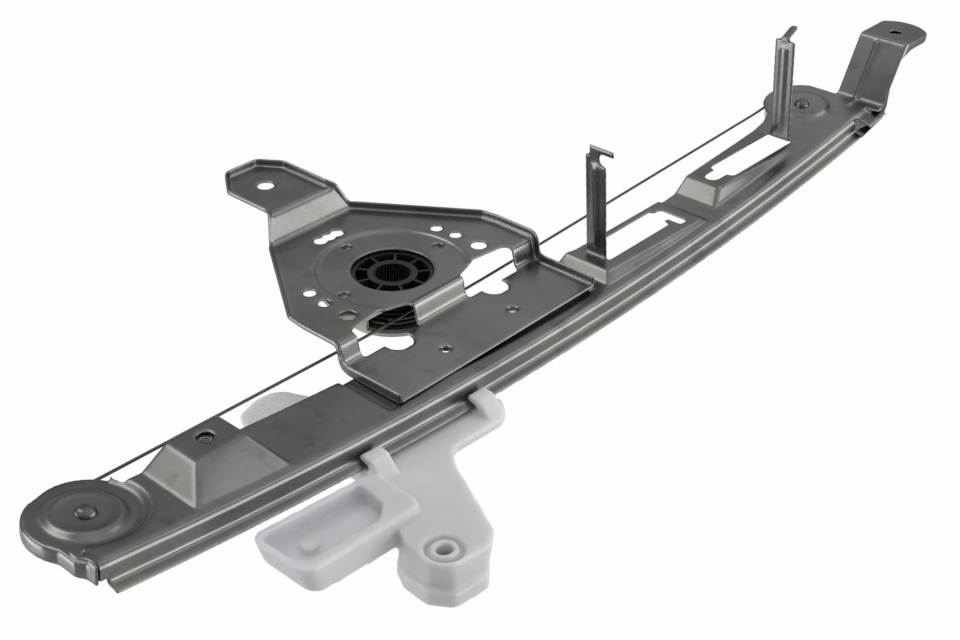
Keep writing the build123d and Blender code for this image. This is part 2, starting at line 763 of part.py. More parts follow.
# Retainer: an open cage under the plate that carries the drum from below
cage_inner = drum_rim + 1.5
cage_wall = 1.8
cage_floor_z = drum_bottom_z - 0.5
cage_top_z = -plate_sheet
mouth_y = -17.5
with BuildPart() as drum_retainer:
    with BuildSketch(Plane.XY.offset(cage_floor_z - 2.0)):
        Circle(cage_inner + cage_wall)
        Circle(lip_bore, mode=Mode.SUBTRACT)
    extrude(amount=2.0)
    with BuildSketch(Plane.XY.offset(cage_floor_z)):
        Circle(cage_inner + cage_wall)
        Circle(cage_inner, mode=Mode.SUBTRACT)
    extrude(amount=cage_top_z - cage_floor_z)
    # flange with an ear round each threaded collar
    with BuildSketch(Plane.XY.offset(cage_top_z - 2.2)):
        Circle(cage_inner + 4)
        with Locations(*motor_holes):
            Circle(7.5)
        with BuildLine():
            Polyline((-24, 9), (-42, 7), (-48.5, -13), (-45, -22), (-30, -22), (-18, -20), close=True)
        make_face()
        Circle(cage_inner, mode=Mode.SUBTRACT)
        with Locations(*motor_holes):
            Circle(screw_minor + collar_wall + 0.3, mode=Mode.SUBTRACT)
    extrude(amount=2.2)
    # the mouth that lets both cable runs out
    with BuildSketch(Plane.XY.offset(cage_floor_z)):
        with BuildLine():
            Polyline((-60, -6), (-12, -6), (10, mouth_y), (60, mouth_y), (60, -60), (-60, -60), close=True)
        make_face()
    extrude(amount=-cage_floor_z - plate_sheet - 3.0, mode=Mode.SUBTRACT)
    # bearing lip that centres the drum in its bore
    with BuildSketch(Plane.XY.offset(cage_floor_z)):
        Circle(lip_radius)
        Circle(lip_bore, mode=Mode.SUBTRACT)
    extrude(amount=drum_bottom_z + lip_rise - cage_floor_z)
drum_retainer.part.label = "drum_retainer"
print("drum_retainer", drum_retainer.part.is_valid, len(drum_retainer.part.solids()))
export_step(drum_retainer.part, "parts/drum_retainer.step")


# Pulleys, their pins and washers
def pulley_bottom(recess):
    """Height of a pulley's lower face over the web."""
    return -recess - rail_sheet - pulley_gap - pulley_thick


def build_pulley(head):
    base = tangent_plane(head["x"], head["y"], pulley_bottom(head["recess"]))
    half = pulley_thick / 2
    groove_bottom = pulley_cable_radius - cable_radius - running_gap
    with BuildPart() as wheel:
        with BuildSketch(base):
            Circle(pulley_rim)
        extrude(amount=pulley_thick)
        with BuildSketch(Plane(base.origin, x_dir=base.x_dir, z_dir=(0, -1, 0))):
            with BuildLine():
                Polyline((pulley_rim + 0.1, half - 1.8), (pulley_rim + 0.1, half + 1.8),
                         (groove_bottom, half + 1.0), (groove_bottom, half - 1.0), close=True)
            make_face()
        revolve(axis=Axis(base.origin, base.z_dir), mode=Mode.SUBTRACT)
        with BuildSketch(base):
            Circle(pin_radius + pin_fit)
        extrude(amount=pulley_thick, mode=Mode.SUBTRACT)
        # dished web between hub and rim
        for side in (base, base.offset(pulley_thick - pulley_dish)):
            with BuildSketch(side):
                Circle(pulley_cable_radius - 4.5)
                Circle(pin_radius + 4.0, mode=Mode.SUBTRACT)
            extrude(amount=pulley_dish, mode=Mode.SUBTRACT)
    return wheel.part


def build_pin(head):
    """Riveted pin: its dome over the raised seat, its shoulder under the sheet, its flange under the washer."""
    seat_rise = pin_seat_rise - pin_seat_dish
    foot = pulley_bottom(head["recess"]) - running_gap - washer_thick + head["recess"] - seat_rise
    with BuildPart() as pin:
        face = tangent_plane(head["x"], head["y"], seat_rise - head["recess"])
        with BuildSketch(Plane(face.origin, x_dir=face.x_dir, z_dir=(0, -1, 0))):
            with BuildLine():
                Polyline((0, dome_height), (1.6, dome_height - 0.1))
                ThreePointArc((1.6, dome_height - 0.1), (dome_radius - 0.9, dome_height * 0.62), (dome_radius, dome_lift))
                Polyline((dome_radius, dome_lift), (pin_neck, dome_lift), (pin_neck, -rail_sheet),
                         (pin_radius, -rail_sheet), (pin_radius, foot), (pin_flange, foot),
                         (pin_flange, foot - pin_flange_thick), (0, foot - pin_flange_thick), (0, dome_height))
            make_face()
        revolve(axis=Axis(face.origin, face.z_dir))
    return pin.part


def build_washer(head):
    under = pulley_bottom(head["recess"]) - running_gap - washer_thick
    with BuildPart() as washer:
        with BuildSketch(tangent_plane(head["x"], head["y"], under)):
            Circle(washer_radius)
            Circle(pin_radius + pin_fit, mode=Mode.SUBTRACT)
        extrude(amount=washer_thick)
    return washer.part


for end, head in (("lower", lower_head), ("upper", upper_head)):
    for kind, piece in (("pulley", build_pulley(head)), ("pulley_pin", build_pin(head)),
                        ("pulley_washer", build_washer(head))):
        piece.label = f"{end}_{kind}"
        print(piece.label, piece.is_valid, len(piece.solids()))
        export_step(piece, f"parts/{end}_{kind}.step")


# Weld nuts under the two threaded mounts
nut_across = 10.0
nut_height = 5.0
for name, x, y, z in (("lower_mount_nut", boss_hole_x, boss_hole_y, boss_top_z - rail_sheet),
                      ("upper_mount_nut", bracket_hole_x, bracket_hole_y, bracket_z - rail_sheet)):
    with BuildPart() as nut:
        with BuildSketch(Plane.XY.offset(z - nut_height)):
            with Locations((x, y)):
                RegularPolygon(nut_across / 2, 6, major_radius=False)
                Circle(screw_minor, mode=Mode.SUBTRACT)
        extrude(amount=nut_height)
    nut.part.label = name
    export_step(nut.part, f"parts/{name}.step")


# Cables. Each runs from the slider along under the web, round its pulley and back to the drum.
strand_step = 40.0
arc_share = 0.95
drum_wrap = 50.0
pulley_lead = 36.0
drum_lead = 30.0


def cable_turns(points, given):
    """Arc radius at each inner point: as given, else as large as the runs beside it leave room for."""
    vectors = [Vector(*point) for point in points]
    inner = range(1, len(points) - 1)
    half_turn = {i: radians((vectors[i] - vectors[i - 1]).get_angle(vectors[i + 1] - vectors[i])) / 2 for i in inner}

    def room(i, beside):
        run = (vectors[i] - vectors[beside]).length
        return run - given[beside] * tan(half_turn[beside]) if beside in given else run / 2

    return [given[i] if i in given else arc_share * min(room(i, i - 1), room(i, i + 1)) / tan(half_turn[i])
            for i in inner]


def pulley_tangent(head, way):
    """Where the drum run leaves the groove of a pulley and where it meets the drum, in plan."""
    dx, dy = -head["x"], -head["y"]
    gap = hypot(dx, dy)
    lean = asin((pulley_cable_radius + drum_cable_radius) / gap)
    along = atan2(dy, dx) - way * lean
    side = Vector(-sin(along), cos(along)) * way
    return Vector(0, 0) - side * drum_cable_radius, Vector(cos(along), sin(along))


def cable_route(head, way, turn):
    """Points of one cable; way is +1 for the lower end, -1 for the upper end."""
    plane = tangent_plane(head["x"], head["y"], pulley_bottom(head["recess"]) + pulley_thick / 2)
    r = pulley_cable_radius
    end, along = pulley_tangent(head, way)
    z = groove_z(turn)
    wrap = radians(drum_wrap)
    reach = drum_cable_radius * tan(wrap / 2)
    corner = end + along * reach
    turned = Vector(along.X * cos(way * wrap) - along.Y * sin(way * wrap),
                    along.Y * cos(way * wrap) + along.X * sin(way * wrap))
    last = corner + turned * (reach + 0.3)
    near_x = head["x"] + way * pulley_lead
    steps = round(abs(near_x - slider_x) / strand_step)
    points = [arc_point(slider_x + (near_x - slider_x) * i / steps, strand_y, strand_height) for i in range(steps + 1)]
    points += [plane.from_local_coords(Vector(way * 12, -r, 0))]
    points += [plane.from_local_coords(Vector(-way * r, -r, 0)), plane.from_local_coords(Vector(-way * r, r, 0))]
    points += [plane.from_local_coords(Vector(way * 12, r, 0))]
    points += [Vector(end.X - along.X * drum_lead, end.Y - along.Y * drum_lead, z)]
    points += [Vector(corner.X, corner.Y, z), Vector(last.X, last.Y, z)]
    return [(p.X, p.Y, p.Z) for p in points]


def build_cable(name, head, way, turn):
    points = cable_route(head, way, turn)
    corner = len(points) - 6
    pulley_arc = pulley_cable_radius - 0.05
    radii = cable_turns(points, {corner: pulley_arc, corner + 1: pulley_arc, len(points) - 2: drum_cable_radius})
    print(name, "radii", [round(r, 1) for r in radii])
    with BuildPart() as cable:
        with BuildLine():
            path = FilletPolyline(*points, radius=radii)
        with BuildSketch(Plane(origin=path @ 0, z_dir=path % 0)):
            Circle(cable_radius)
        sweep()
    print(name, "length", round(path.length, 1), "volume over section by length",
          round(cable.part.volume / (pi * cable_radius**2 * path.length), 4), cable.part.is_valid)
    cable.part.label = name
    export_step(cable.part, f"parts/{name}.step")


build_cable("lower_cable", lower_head, 1, lower_cable_turn)
build_cable("upper_cable", upper_head, -1, upper_cable_turn)


# Slider: the moulded carrier of the glass. Its guides are swept along the rail's arc.
lip_top = -wall_drop
lip_bottom = -wall_drop - rail_sheet
hook_outer_y = lip_edge_y - 7.5
hook_finger = 3.6
hook_base = -19.5
slab_top = -14.2
slab_thick = 5.6
channel_radius = cable_radius + 0.85
nipple_radius = 2.4
nipple_length = 7.0
room_lower_x = slider_x - 22.0
room_upper_x = slider_x + 22.0
room_gap = 0.3
channel_lower_x = -130.0
channel_upper_x = 0.0
hook_round = 1.0
slider_plane = tangent_plane(slider_x)


def swept(points, x0, x1, bend=0.0):
    """A block of the given cross-section swept along the rail between two stations."""
    with BuildPart() as block:
        with BuildSketch(section_plane(x0)) as section:
            with BuildLine():
                Polyline(*points, close=True)
            make_face()
            if bend:
                fillet(section.vertices(), radius=bend)
        revolve(axis=arc_axis, revolution_arc=arc_sweep(x0, x1))
    return block.part


def slab(points, top, thick, corner):
    """A plate of the slider under the web, its plan in X and Y and its corners rounded."""
    with BuildPart() as block:
        with BuildSketch(slider_plane.offset(top)) as plan:
            with BuildLine():
                Polyline(*[(x - slider_x, y) for x, y in points], close=True)
            make_face()
            fillet(plan.vertices(), radius=corner)
        extrude(amount=-thick)
    return block.part


hook_section = [
    (web_front_y - 1.0, lip_top + slide_gap),
    (web_front_y - 1.0, lip_top + slide_gap + hook_finger * 0.7),
    (web_front_y - 3.0, lip_top + slide_gap + hook_finger),
    (lip_edge_y - 3.0, lip_top + slide_gap + hook_finger - 0.6),
    (hook_outer_y, lip_top - 1.0),
    (hook_outer_y - 3.0, slab_top),
    (hook_outer_y - 3.0, hook_base),
    (web_front_y + 3.0, hook_base),
    (web_front_y + 3.0, lip_bottom - 0.7 - slide_gap),
    (lip_edge_y - slide_gap - 0.6, lip_bottom - lip_droop - 0.35 - slide_gap),
    (lip_edge_y - slide_gap - 0.6, lip_top - lip_droop + slide_gap),
]
guide_front_y = web_front_y + rail_sheet + slide_gap + 0.4
guide_back_y = sunk_front_y - 4.4
roof_height = strand_height + nipple_radius + 1.0
guide_section = [
    (guide_front_y, -rail_sheet - slide_gap - 1.6),
    (guide_front_y + 1.0, -rail_sheet - slide_gap),
    (guide_back_y, -rail_sheet - slide_gap),
    (guide_back_y, roof_height),
    (guide_back_y + 2.5, roof_height),
    (guide_back_y + 2.5, slab_top - 1),
    (guide_front_y, slab_top - 1),
]
chamber_section = [
    (strand_y - nipple_radius - 2.0, slab_top - 1),
    (strand_y - nipple_radius - 2.0, roof_height),
    (strand_y + nipple_radius + 2.0, roof_height),
    (strand_y + nipple_radius + 3.0, slab_top - 1),
]
clamp_x = -120.5
clamp_y = -149.5
slab_bottom = slab_top - slab_thick
tray_top = -10.0
tray_bottom = -22.7
tray_floor = -19.0
band_top = -27.4
band_bottom = -35.4
socket_radius = 8.6
socket_depth = 3.4
nut_pocket = 13.4
nut_pocket_top = -26.6
carrier_outline = [(-110, -101), (-110, -47), (-19, -47), (-19, -93), (-24.5, -99.5), (-31, -103.2),
                   (-63, -103.2), (-69.5, -107.5), (-74.5, -114.5), (-85.5, -135), (-92, -147), (-112, -147), (-116, -128)]
flap_outline = [(-122, -52), (-121, -24), (-116.5, -16.5), (-103, -11.6), (-93, -12), (-88, -15.5), (-80, -32), (-80, -52)]
tray_outer = [(-176.3, -91.8), (-175.2, -126), (-108, -126), (-108, -94.8)]
tray_foot = [(-171.8, -93), (-171.8, -127.8), (-108, -130), (-108, -95.2)]
tray_mouth = [(-172.5, -95.5), (-172, -114), (-168.5, -120), (-129, -120.5), (-121, -114), (-118, -97.7)]
foot_top = [(-124, -126), (-129.5, -136), (-130.5, -150), (-126, -159.5), (-104, -161.5), (-96, -155.3), (-76, -117.5), (-106, -117)]
foot_base = [(-126.5, -129), (-130, -136), (-131, -151), (-126, -160.5), (-108, -162.5), (-101, -157), (-86, -131), (-108, -125)]
band_outline = [(-127.5, -129), (-133, -139), (-133.5, -153), (-127, -162.5), (-108, -164), (-101, -158), (-88, -134), (-108, -126)]


def tapered(upper, top, lower, bottom, corner):
    """A moulded block between two plans of the same number of corners."""
    with BuildPart() as block:
        for outline, height in ((upper, top), (lower, bottom)):
            with BuildSketch(slider_plane.offset(height)) as plan:
                with BuildLine():
                    Polyline(*[(x - slider_x, y) for x, y in outline], close=True)
                make_face()
                fillet(plan.vertices(), radius=corner)
        loft(ruled=True)
    return block.part


with BuildPart() as slider_body:
    for x in (hook_1_x, hook_2_x):
        add(swept(hook_section, x - hook_length / 2, x + hook_length / 2, hook_round))
        add(swept(guide_section, x - hook_length / 2, x + hook_length / 2))
    add(swept(chamber_section, -92.0, -36.0))
    # carrier plate between the hooks, with the tongue out to the glass clamp
    add(slab(carrier_outline, slab_top, slab_thick, 2.4))
    # flap under the back edge of the web
    add(slab(flap_outline, slab_top, 3.0, 3.5))
    # tray beside the tongue: rim, sunk floor and a small boss
    add(tapered(tray_outer, tray_top, tray_foot, tray_bottom, 6.5))
    add(slab(tray_mouth, tray_top + 1, tray_top + 1 - tray_floor, 3.0), mode=Mode.SUBTRACT)
    with BuildSketch(slider_plane.offset(tray_floor - 1)):
        with Locations((-156.5 - slider_x, -107.5)):
            Circle(4.0)
    extrude(amount=4.2)
    # foot that clamps the glass, with a wider band round its bottom
    add(tapered(foot_top, slab_top - 0.02, foot_base, band_top - 1, 4.0))
    add(slab(band_outline, band_top, band_top - band_bottom, 4.0))
    # socket of the clamp screw, a low collar in it and the slotted hole
    with BuildSketch(slider_plane.offset(slab_top - socket_depth)):
        with Locations((clamp_x - slider_x, clamp_y)):
            Circle(socket_radius)
            Circle(socket_radius - 2.2, mode=Mode.SUBTRACT)
    extrude(amount=socket_depth + 1, mode=Mode.SUBTRACT)
    with BuildSketch(slider_plane.offset(slab_top + 1)):
        with Locations((clamp_x - slider_x, clamp_y)):
            SlotCenterToCenter(2.0, 6.4)
    extrude(amount=slab_bottom - slab_top - 12, mode=Mode.SUBTRACT)
    # pocket of the captive nut
    with BuildSketch(slider_plane.offset(band_bottom - 0.5)):
        with Locations((clamp_x - slider_x, clamp_y)):
            Rectangle(nut_pocket, nut_pocket)
    extrude(amount=nut_pocket_top - band_bottom + 0.5, mode=Mode.SUBTRACT)
slider_body.part.label = "slider_body"
print("slider_body", slider_body.part.is_valid, len(slider_body.part.solids()), round(slider_body.part.volume))

# room for the cable, its two nipples and the spring that keeps the lower cable tight
room_width = 2 * (nipple_radius + room_gap)
with BuildPart() as cable_room:
    with BuildSketch(section_plane(channel_lower_x)):
        with Locations((strand_y, strand_height)):
            Circle(channel_radius)
    revolve(axis=arc_axis, revolution_arc=arc_sweep(channel_lower_x, channel_upper_x))
    with BuildSketch(section_plane(room_lower_x)):
        with Locations((strand_y, strand_height)):
            Rectangle(room_width, room_width)
        with Locations((strand_y, strand_height - 8)):
            Rectangle(room_width, 16)
    revolve(axis=arc_axis, revolution_arc=arc_sweep(room_lower_x, room_upper_x))
slider_moulding = slider_body.part - cable_room.part
slider_moulding.label = "slider_body"
print("slider_body", slider_moulding.is_valid, len(slider_moulding.solids()), round(slider_moulding.volume))
export_step(slider_moulding, "parts/slider_body.step")

# What rides on the strand between the two walls of the room: spring, cup and the crimped cable ends
spring_wire = 0.4
spring_coil_radius = 1.75
spring_turns = 6
spring_length = 12.0
cup_length = 2.0


def strand_ring(name, start_x, length, outer):
    """A ring round the cable, its lower face at start_x."""
    with BuildPart() as ring:
        with BuildSketch(section_plane(start_x)):
            with Locations((strand_y, strand_height)):
                Circle(outer)
                Circle(cable_radius + running_gap, mode=Mode.SUBTRACT)
        revolve(axis=arc_axis, revolution_arc=arc_sweep(start_x, start_x + length))
    ring.part.label = name
    print(name, ring.part.is_valid, len(ring.part.solids()))
    export_step(ring.part, f"parts/{name}.step")


spring_start_x = room_lower_x + 0.05
cup_start_x = spring_start_x + spring_length + 2 * spring_wire + 0.05
strand_ring("spring_cup", cup_start_x, cup_length, nipple_radius - 0.1)
strand_ring("lower_cable_nipple", cup_start_x + cup_length + 0.05, nipple_length, nipple_radius)
strand_ring("upper_cable_nipple", room_upper_x - 0.05 - nipple_length, nipple_length, nipple_radius)

with BuildPart() as tension_spring:
    with BuildLine():
        coil = Helix(pitch=spring_length / spring_turns, height=spring_length, radius=spring_coil_radius)
    with BuildSketch(Plane(origin=coil @ 0, z_dir=coil % 0)):
        Circle(spring_wire)
    sweep()
spring_middle = section_plane(spring_start_x + spring_wire + spring_length / 2)
spring_frame = Plane(origin=spring_middle.from_local_coords(Vector(strand_y, strand_height, -spring_length / 2)),
                     x_dir=(0, 1, 0), z_dir=spring_middle.z_dir)
spring_placed = tension_spring.part.moved(spring_frame.location)
spring_placed.label = "cable_tension_spring"
print("cable_tension_spring", spring_placed.is_valid, len(spring_placed.solids()), round(spring_placed.volume))
export_step(spring_placed, "parts/cable_tension_spring.step")

# Nut held in the foot of the slider for the glass clamp
clamp_nut_width = 13.0
clamp_nut_height = 5.0
with BuildPart() as clamp_nut:
    with BuildSketch(slider_plane.offset(nut_pocket_top - 0.4 - clamp_nut_height)):
        with Locations((clamp_x - slider_x, clamp_y)):
            Rectangle(clamp_nut_width, clamp_nut_width)
            Circle(screw_minor, mode=Mode.SUBTRACT)
    extrude(amount=clamp_nut_height)
clamp_nut.part.label = "glass_clamp_nut"
export_step(clamp_nut.part, "parts/glass_clamp_nut.step")
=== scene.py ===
"""Looks of the window regulator: finishes, rounded bends, folded corners, threads, camera, floor, light."""
import json
from math import cos, pi, radians, sin

import bpy
import numpy as np
from mathutils import Matrix, Vector


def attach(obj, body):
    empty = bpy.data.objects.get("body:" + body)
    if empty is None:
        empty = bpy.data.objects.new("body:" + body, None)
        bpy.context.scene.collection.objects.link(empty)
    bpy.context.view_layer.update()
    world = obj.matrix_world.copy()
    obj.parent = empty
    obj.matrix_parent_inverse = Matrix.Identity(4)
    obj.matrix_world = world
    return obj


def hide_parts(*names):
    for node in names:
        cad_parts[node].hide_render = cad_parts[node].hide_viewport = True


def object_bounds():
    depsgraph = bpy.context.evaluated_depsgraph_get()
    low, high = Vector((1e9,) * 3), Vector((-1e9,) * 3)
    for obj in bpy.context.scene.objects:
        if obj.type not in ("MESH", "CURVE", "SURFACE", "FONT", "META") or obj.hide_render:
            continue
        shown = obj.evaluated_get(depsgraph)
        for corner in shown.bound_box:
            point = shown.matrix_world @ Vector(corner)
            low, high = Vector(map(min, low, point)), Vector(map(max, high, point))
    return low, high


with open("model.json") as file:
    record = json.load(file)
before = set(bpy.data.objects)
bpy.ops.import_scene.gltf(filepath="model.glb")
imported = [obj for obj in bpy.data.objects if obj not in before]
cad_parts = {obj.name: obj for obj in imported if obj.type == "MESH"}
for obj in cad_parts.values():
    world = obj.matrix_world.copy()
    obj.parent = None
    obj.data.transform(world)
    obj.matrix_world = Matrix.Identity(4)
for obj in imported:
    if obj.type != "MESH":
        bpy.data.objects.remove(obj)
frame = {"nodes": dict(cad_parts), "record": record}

MM = 0.001
cad_low, cad_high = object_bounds()
slot_of = {entry["node"]: entry["material_slot"] for entry in frame["record"]["subparts"]}
body_of_node = {
    node: body
    for body, nodes in frame["record"]["behaviour"]["bodies"].items()
    for node in nodes
}


# Small helpers for node trees
def new_material(name):
    material = bpy.data.materials.new(name)
    material.use_nodes = True
    nodes = material.node_tree.nodes
    return material, nodes, material.node_tree.links, nodes["Principled BSDF"]


def object_coords(nodes, links, scale=(1.0, 1.0, 1.0), turn=0.0):
    """Object coordinates, stretched, and turned about Z, as the place of every texture."""
    coords = nodes.new("ShaderNodeTexCoord")
    mapping = nodes.new("ShaderNodeMapping")
    mapping.inputs["Scale"].default_value = scale
    mapping.inputs["Rotation"].default_value = (0.0, 0.0, turn)
    links.new(coords.outputs["Object"], mapping.inputs["Vector"])
    return mapping.outputs["Vector"]


def noise(nodes, links, vector, scale, detail, rough):
    texture = nodes.new("ShaderNodeTexNoise")
    texture.inputs["Scale"].default_value = scale
    texture.inputs["Detail"].default_value = detail
    texture.inputs["Roughness"].default_value = rough
    links.new(vector, texture.inputs["Vector"])
    return texture.outputs["Fac"]


def ramp(nodes, links, value, stops):
    """A colour or grey ramp; stops are (place, colour) with a grey as one number."""
    node = nodes.new("ShaderNodeValToRGB")
    elements = node.color_ramp.elements
    while len(elements) < len(stops):
        elements.new(0.5)
    for element, (place, colour) in zip(elements, stops):
        element.position = place
        grey = isinstance(colour, (int, float))
        element.color = (colour, colour, colour, 1.0) if grey else (*colour, 1.0)
    links.new(value, node.inputs["Fac"])
    return node.outputs["Color"]


def multiply(nodes, links, first, second, share=1.0):
    """The first colour darkened by a share of the second."""
    node = nodes.new("ShaderNodeMix")
    node.data_type = "RGBA"
    node.blend_type = "MULTIPLY"
    node.inputs["Factor"].default_value = share
    links.new(first, node.inputs["A"])
    links.new(second, node.inputs["B"])
    return node.outputs["Result"]


def add_values(nodes, links, first, second, weight):
    """The first value plus the second times its weight."""
    node = nodes.new("ShaderNodeMath")
    node.operation = "MULTIPLY_ADD"
    node.inputs[1].default_value = weight
    links.new(second, node.inputs[0])
    links.new(first, node.inputs[2])
    return node.outputs["Value"]


def bump(nodes, links, shader, height, strength, depth):
    """Fine relief."""
    node = nodes.new("ShaderNodeBump")
    node.inputs["Strength"].default_value = strength
    node.inputs["Distance"].default_value = depth
    links.new(height, node.inputs["Height"])
    links.new(node.outputs["Normal"], shader.inputs["Normal"])


# Materials
def galvanised(name, light, dark, grain_turn=0.0):
    """Rolled, zinc coated sheet: faint rolling grain, cloudy coating, dull spots and a soft orange peel."""
    material, nodes, links, shader = new_material(name)
    along = object_coords(nodes, links, scale=(0.06, 1.0, 1.0), turn=grain_turn)
    plain = object_coords(nodes, links)
    grain = noise(nodes, links, along, scale=900.0, detail=6.0, rough=0.6)
    cloud = noise(nodes, links, plain, scale=26.0, detail=5.0, rough=0.6)
    peel = noise(nodes, links, plain, scale=420.0, detail=3.0, rough=0.5)
    drift = noise(nodes, links, plain, scale=9.0, detail=3.0, rough=0.5)
    spots = noise(nodes, links, plain, scale=70.0, detail=3.0, rough=0.5)
    coating = add_values(nodes, links, cloud, drift, weight=0.8)
    tone = ramp(nodes, links, coating, [(0.62, dark), (1.0, light)])
    streaks = ramp(nodes, links, grain, [(0.25, 0.86), (0.75, 1.0)])
    marks = ramp(nodes, links, spots, [(0.60, 1.0), (0.72, 0.80)])
    tone = multiply(nodes, links, tone, marks)
    tone = multiply(nodes, links, tone, streaks, share=0.8)
    links.new(tone, shader.inputs["Base Color"])
    links.new(ramp(nodes, links, cloud, [(0.25, 0.23), (0.75, 0.31)]), shader.inputs["Roughness"])
    shader.inputs["Metallic"].default_value = 1.0
    relief = add_values(nodes, links, peel, grain, weight=0.5)
    bump(nodes, links, shader, relief, strength=0.09, depth=0.05 * MM)
    return material


def turned_steel(name, light, dark, rough):
    """Plated turned or pressed steel with fine marks."""
    material, nodes, links, shader = new_material(name)
    plain = object_coords(nodes, links)
    cloud = noise(nodes, links, plain, scale=120.0, detail=4.0, rough=0.6)
    fine = noise(nodes, links, plain, scale=1500.0, detail=3.0, rough=0.6)
    gloss = ramp(nodes, links, cloud, [(0.2, rough - 0.06), (0.8, rough + 0.08)])
    links.new(ramp(nodes, links, cloud, [(0.3, dark), (0.7, light)]), shader.inputs["Base Color"])
    links.new(gloss, shader.inputs["Roughness"])
    shader.inputs["Metallic"].default_value = 1.0
    bump(nodes, links, shader, fine, strength=0.15, depth=0.03 * MM)
    return material


def moulded(name, light, dark, rough):
    """Opaque moulded plastic with a fine skin."""
    material, nodes, links, shader = new_material(name)
    plain = object_coords(nodes, links)
    cloud = noise(nodes, links, plain, scale=60.0, detail=4.0, rough=0.55)
    skin = noise(nodes, links, plain, scale=700.0, detail=4.0, rough=0.6)
    gloss = ramp(nodes, links, skin, [(0.3, rough - 0.05), (0.7, rough + 0.07)])
    links.new(ramp(nodes, links, cloud, [(0.3, dark), (0.7, light)]), shader.inputs["Base Color"])
    links.new(gloss, shader.inputs["Roughness"])
    bump(nodes, links, shader, skin, strength=0.2, depth=0.04 * MM)
    return material


def natural_nylon(name, light, dark):
    """Unpigmented nylon: milky, light goes some way into it."""
    material, nodes, links, shader = new_material(name)
    plain = object_coords(nodes, links)
    cloud = noise(nodes, links, plain, scale=35.0, detail=5.0, rough=0.6)
    skin = noise(nodes, links, plain, scale=500.0, detail=4.0, rough=0.6)
    links.new(ramp(nodes, links, cloud, [(0.3, dark), (0.7, light)]), shader.inputs["Base Color"])
    links.new(ramp(nodes, links, skin, [(0.3, 0.38), (0.7, 0.50)]), shader.inputs["Roughness"])
    shader.inputs["Subsurface Weight"].default_value = 0.75
    shader.inputs["Subsurface Radius"].default_value = (1.0, 1.0, 1.05)
    shader.inputs["Subsurface Scale"].default_value = 9.0 * MM
    shader.inputs["IOR"].default_value = 1.5
    relief = add_values(nodes, links, skin, cloud, weight=2.0)
    bump(nodes, links, shader, relief, strength=0.25, depth=0.12 * MM)
    return material


def wire_rope(name, slant):
    """Laid steel wire: slanting strands across the line of the cable, with painted shade darkening the
    grooves between them.
    """
    material, nodes, links, shader = new_material(name)
    slanted = object_coords(nodes, links, turn=slant)
    strands = nodes.new("ShaderNodeTexWave")
    strands.wave_type = "BANDS"
    strands.bands_direction = "X"
    strands.inputs["Scale"].default_value = 420.0
    strands.inputs["Distortion"].default_value = 0.6
    links.new(slanted, strands.inputs["Vector"])
    # The grooves between the strands are painted darker (painted shade); the crowns keep the wire's own tone
    painted_groove_shade, crown = (0.035, 0.035, 0.036), (0.15, 0.15, 0.15)
    tone = ramp(nodes, links, strands.outputs["Fac"], [(0.1, painted_groove_shade), (0.6, crown)])
    links.new(tone, shader.inputs["Base Color"])
    shader.inputs["Metallic"].default_value = 1.0
    shader.inputs["Roughness"].default_value = 0.38
    bump(nodes, links, shader, strands.outputs["Fac"], strength=0.8, depth=0.15 * MM)
    return material


finishes = {
    "rail_steel": galvanised("rail_steel", (0.215, 0.220, 0.203), (0.150, 0.154, 0.145)),
    "plate_steel": galvanised("plate_steel", (0.245, 0.255, 0.234), (0.165, 0.173, 0.163), grain_turn=pi / 2),
    "drum_plastic": moulded("drum_plastic", (0.006, 0.006, 0.007), (0.003, 0.003, 0.004), rough=0.50),
    "retainer_plastic": moulded("retainer_plastic", (0.50, 0.48, 0.42), (0.42, 0.40, 0.35), rough=0.42),
    "slider_plastic": natural_nylon("slider_plastic", (0.61, 0.62, 0.64), (0.55, 0.56, 0.575)),
    "pulley_plastic": moulded("pulley_plastic", (0.80, 0.79, 0.74), (0.72, 0.71, 0.66), rough=0.40),
    "cable_steel": wire_rope("cable_steel", slant=0.6),
    "pin_steel": turned_steel("pin_steel", (0.15, 0.155, 0.175), (0.11, 0.115, 0.13), rough=0.24),
    "nipple_zinc": turned_steel("nipple_zinc", (0.44, 0.44, 0.44), (0.34, 0.34, 0.34), rough=0.42),
    "spring_steel": turned_steel("spring_steel", (0.36, 0.36, 0.35), (0.26, 0.26, 0.26), rough=0.32),
}
bright_thread = turned_steel("bright_thread", (0.86, 0.88, 0.92), (0.66, 0.68, 0.72), rough=0.30)
for node, cad_object in frame["nodes"].items():
    cad_object.data.materials.clear()
    cad_object.data.materials.append(finishes[slot_of[node]])


# Small helpers for objects and meshes
sharp_angle = radians(38)


def new_object(name, data):
    added = bpy.data.objects.new(name, data)
    bpy.context.scene.collection.objects.link(added)
    return added


def apply_modifiers(piece):
    """Give the piece the mesh that its modifiers make, and take them off."""
    graph = bpy.context.evaluated_depsgraph_get()
    mesh = bpy.data.meshes.new_from_object(piece.evaluated_get(graph), depsgraph=graph)
    piece.modifiers.clear()
    piece.data = mesh
    return mesh


def shade_smooth(mesh):
    mesh.polygons.foreach_set("use_smooth", [True] * len(mesh.polygons))


def read_vectors(vertices, field):
    values = np.empty(len(vertices) * 3)
    vertices.foreach_get(field, values)
    return values.reshape(len(vertices), 3)


# Bends: the pressed sheets and the moulding with their edges rounded as the press and the mould leave them
step_pairs = 9         # a step in and a step out, which keep the volume
smooth_in = 0.5
smooth_out = -0.53
rim_start = 0.62       # at a cut rim the averaged normal is shorter than this, and the rim stays
rim_width = 0.15       # over this much more length the rounding sets in


def neighbour_mean(values, starts, ends, counts):
    """Mean over the vertices joined by an edge, for each column of values."""
    total = np.empty_like(values)
    size = len(values)
    for axis in range(3):
        column = values[:, axis]
        total[:, axis] = np.bincount(starts, column[ends], size) + np.bincount(ends, column[starts], size)
    return total / counts[:, None]


